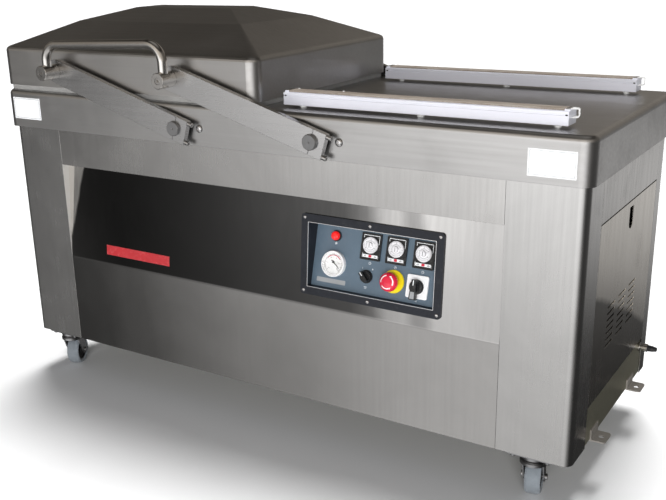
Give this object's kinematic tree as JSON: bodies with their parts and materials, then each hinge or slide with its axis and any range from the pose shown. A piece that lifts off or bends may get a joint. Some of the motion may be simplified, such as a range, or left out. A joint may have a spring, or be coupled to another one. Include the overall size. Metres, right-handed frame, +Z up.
{
  "type": "double chamber vacuum packing machine",
  "caption": "Floor-standing stainless double-chamber vacuum packer on casters; a deep lid on parallel arms swings across the deck over lifting seal bars.",
  "frame": {"origin": "bottom centre of the whole machine's box, on the floor under the casters", "axes": "+X to the right along the front and the longest way, +Y to the back, +Z up"},
  "size_m": [1.51, 0.7, 0.925],
  "materials": {
    "deck_stainless": "satin brushed",
    "cabinet_stainless": "brushed, cross grain",
    "panel_stainless": "fine brushed, part reflective",
    "lid_stainless": "satin",
    "arm_stainless": "brushed",
    "shaft_steel": "turned",
    "handle_stainless": "polished satin",
    "fastener_steel": "bright",
    "bar_aluminium": "anodised",
    "silicone": "matt silicone",
    "pad_assembly": "silicone on an aluminium rail",
    "bezel_black": "fine textured",
    "plate_blue_grey": "satin printed film",
    "lamp_red": "gloss lens in a black ring",
    "gauge_white": "white dial in a steel ring",
    "needle_black": "matt",
    "timer_black": "moulded",
    "dial_white": "translucent white",
    "switch_parts": "white plate, black base",
    "knob_black": "moulded",
    "estop_yellow": "gloss",
    "estop_red": "gloss",
    "notice_film": "printed film",
    "zinc_plate": "bright zinc",
    "caster_rubber": "grey tread, black hub",
    "tab_stainless": "brushed",
    "fitting_steel": "nickel plated, black tip",
    "pump_iron": "painted casting",
    "motor_alu": "painted, finned",
    "pipe_black": "reinforced hose and steel flanges",
    "box_grey": "powder coated",
    "cylinder_alu": "anodised, nylon bushes"
  },
  "bodies": {
    "root": {"table_top": "deck_stainless", "shaft_bearings": "fastener_steel", "front_post_left": "cabinet_stainless", "front_post_right": "cabinet_stainless", "rear_posts": "cabinet_stainless", "top_rails": "cabinet_stainless", "front_panel": "panel_stainless", "side_panel_left": "cabinet_stainless", "side_panel_right": "cabinet_stainless", "back_panel": "cabinet_stainless", "base_frame": "cabinet_stainless", "anchor_tabs": "tab_stainless", "lift_cylinders": "cylinder_alu", "control_bezel": "bezel_black", "control_plate": "plate_blue_grey", "pilot_lamp": "lamp_red", "gauge_case": "gauge_white", "timer_bodies": "timer_black", "switch_bases": "switch_parts", "estop_collar": "estop_yellow", "notice_plates": "notice_film", "caster_mounts": "zinc_plate", "inlet_fitting": "fitting_steel", "vacuum_pump": "pump_iron", "pump_motor": "motor_alu", "vacuum_manifold": "pipe_black", "electrical_box": "box_grey"},
    "swing_arms_left": {"shaft_left": "shaft_steel", "arm_left_front": "arm_stainless", "arm_left_rear": "arm_stainless", "clamps_left": "arm_stainless"},
    "swing_arms_right": {"shaft_right": "shaft_steel", "arm_right_front": "arm_stainless", "arm_right_rear": "arm_stainless", "clamps_right": "arm_stainless"},
    "lid": {"lid_shell": "lid_stainless", "lid_gasket": "silicone", "lid_seal_pads": "pad_assembly", "lid_bosses": "handle_stainless", "lid_handle": "handle_stainless"},
    "seal_bar_left_front": {"seal_bar_left_front": "bar_aluminium"},
    "seal_bar_left_rear": {"seal_bar_left_rear": "bar_aluminium"},
    "seal_bar_right_front": {"seal_bar_right_front": "bar_aluminium"},
    "seal_bar_right_rear": {"seal_bar_right_rear": "bar_aluminium"},
    "gauge_needle": {"gauge_needle": "needle_black"},
    "timer_dial_1": {"timer_dial_1": "dial_white"},
    "timer_dial_2": {"timer_dial_2": "dial_white"},
    "timer_dial_3": {"timer_dial_3": "dial_white"},
    "selector_knob": {"selector_knob": "knob_black"},
    "switch_handle": {"switch_handle": "knob_black"},
    "estop_stem": {"estop_stem": "estop_red"},
    "estop_head": {"estop_head": "estop_red"},
    "caster_fork_fl": {"caster_fork_fl": "zinc_plate"},
    "caster_wheel_fl": {"caster_wheel_fl": "caster_rubber"},
    "caster_fork_fr": {"caster_fork_fr": "zinc_plate"},
    "caster_wheel_fr": {"caster_wheel_fr": "caster_rubber"},
    "caster_fork_rl": {"caster_fork_rl": "zinc_plate"},
    "caster_wheel_rl": {"caster_wheel_rl": "caster_rubber"},
    "caster_fork_rr": {"caster_fork_rr": "zinc_plate"},
    "caster_wheel_rr": {"caster_wheel_rr": "caster_rubber"}
  },
  "joints": [
    {"name": "lid_swing", "type": "hinge", "parent": "root", "child": "swing_arms_left", "pos_m": [-0.18, 0, 0.69], "axis": [0, 1, 0], "range_deg": [0, 146.3]},
    {"name": "right_arms_swing", "type": "hinge", "parent": "root", "child": "swing_arms_right", "pos_m": [0.17, 0, 0.69], "axis": [0, 1, 0], "range_deg": [0, 146.3]},
    {"name": "lid_level", "type": "hinge", "parent": "swing_arms_left", "child": "lid", "pos_m": [-0.53, 0, 0.796], "axis": [0, 1, 0], "range_deg": [-146.3, 0]},
    {"name": "seal_lift_left_front", "type": "slide", "parent": "root", "child": "seal_bar_left_front", "axis": [0, 0, 1], "range_m": [0, 0.012]},
    {"name": "seal_lift_left_rear", "type": "slide", "parent": "root", "child": "seal_bar_left_rear", "axis": [0, 0, 1], "range_m": [0, 0.012]},
    {"name": "seal_lift_right_front", "type": "slide", "parent": "root", "child": "seal_bar_right_front", "axis": [0, 0, 1], "range_m": [0, 0.012]},
    {"name": "seal_lift_right_rear", "type": "slide", "parent": "root", "child": "seal_bar_right_rear", "axis": [0, 0, 1], "range_m": [0, 0.012]},
    {"name": "gauge_pointer", "type": "hinge", "parent": "root", "child": "gauge_needle", "pos_m": [0.184, -0.25046, 0.42711], "axis": [0, -0.9666, 0.2562], "range_deg": [0, 255]},
    {"name": "timer_1_turn", "type": "hinge", "parent": "root", "child": "timer_dial_1", "pos_m": [0.267, -0.23794, 0.47241], "axis": [0, 0.9666, -0.2562], "range_deg": [0, 270]},
    {"name": "timer_2_turn", "type": "hinge", "parent": "root", "child": "timer_dial_2", "pos_m": [0.326, -0.23794, 0.47241], "axis": [0, 0.9666, -0.2562], "range_deg": [0, 270]},
    {"name": "timer_3_turn", "type": "hinge", "parent": "root", "child": "timer_dial_3", "pos_m": [0.3875, -0.23794, 0.47241], "axis": [0, 0.9666, -0.2562], "range_deg": [0, 270]},
    {"name": "selector_turn", "type": "hinge", "parent": "root", "child": "selector_knob", "pos_m": [0.263, -0.25485, 0.40861], "axis": [0, 0.9666, -0.2562], "range_deg": [0, 90]},
    {"name": "main_switch_turn", "type": "hinge", "parent": "root", "child": "switch_handle", "pos_m": [0.3805, -0.25729, 0.40719], "axis": [0, 0.9666, -0.2562], "range_deg": [0, 90]},
    {"name": "estop_press", "type": "slide", "parent": "root", "child": "estop_stem", "axis": [0, 0.9666, -0.2562], "range_m": [0, 0.005], "stiffness_N_per_m": 400},
    {"name": "estop_twist", "type": "hinge", "parent": "estop_stem", "child": "estop_head", "pos_m": [0.326, -0.26838, 0.4122], "axis": [0, 0.9666, -0.2562], "range_deg": [0, 45]},
    {"name": "caster_swivel_fl", "type": "hinge", "parent": "root", "child": "caster_fork_fl", "pos_m": [-0.645, -0.242, 0.084], "axis": [0, 0, 1], "continuous": true},
    {"name": "caster_roll_fl", "type": "hinge", "parent": "caster_fork_fl", "child": "caster_wheel_fl", "pos_m": [-0.65476, -0.22007, 0.0375], "axis": [0.9135, 0.4067, 0], "continuous": true},
    {"name": "caster_swivel_fr", "type": "hinge", "parent": "root", "child": "caster_fork_fr", "pos_m": [0.635, -0.242, 0.084], "axis": [0, 0, 1], "continuous": true},
    {"name": "caster_roll_fr", "type": "hinge", "parent": "caster_fork_fr", "child": "caster_wheel_fr", "pos_m": [0.63001, -0.21852, 0.0375], "axis": [0.9781, 0.2079, 0], "continuous": true},
    {"name": "caster_swivel_rl", "type": "hinge", "parent": "root", "child": "caster_fork_rl", "pos_m": [-0.645, 0.242, 0.084], "axis": [0, 0, 1], "continuous": true},
    {"name": "caster_roll_rl", "type": "hinge", "parent": "caster_fork_rl", "child": "caster_wheel_rl", "pos_m": [-0.63679, 0.26455, 0.0375], "axis": [0.9397, -0.342, 0], "continuous": true},
    {"name": "caster_swivel_rr", "type": "hinge", "parent": "root", "child": "caster_fork_rr", "pos_m": [0.635, 0.242, 0.084], "axis": [0, 0, 1], "continuous": true},
    {"name": "caster_roll_rr", "type": "hinge", "parent": "caster_fork_rr", "child": "caster_wheel_rr", "pos_m": [0.62123, 0.26166, 0.0375], "axis": [0.8192, 0.5736, 0], "continuous": true}
  ],
  "couplings": [
    {"joint": "right_arms_swing", "follows": "lid_swing", "ratio": 1},
    {"joint": "lid_level", "follows": "lid_swing", "ratio": -1}
  ]
}
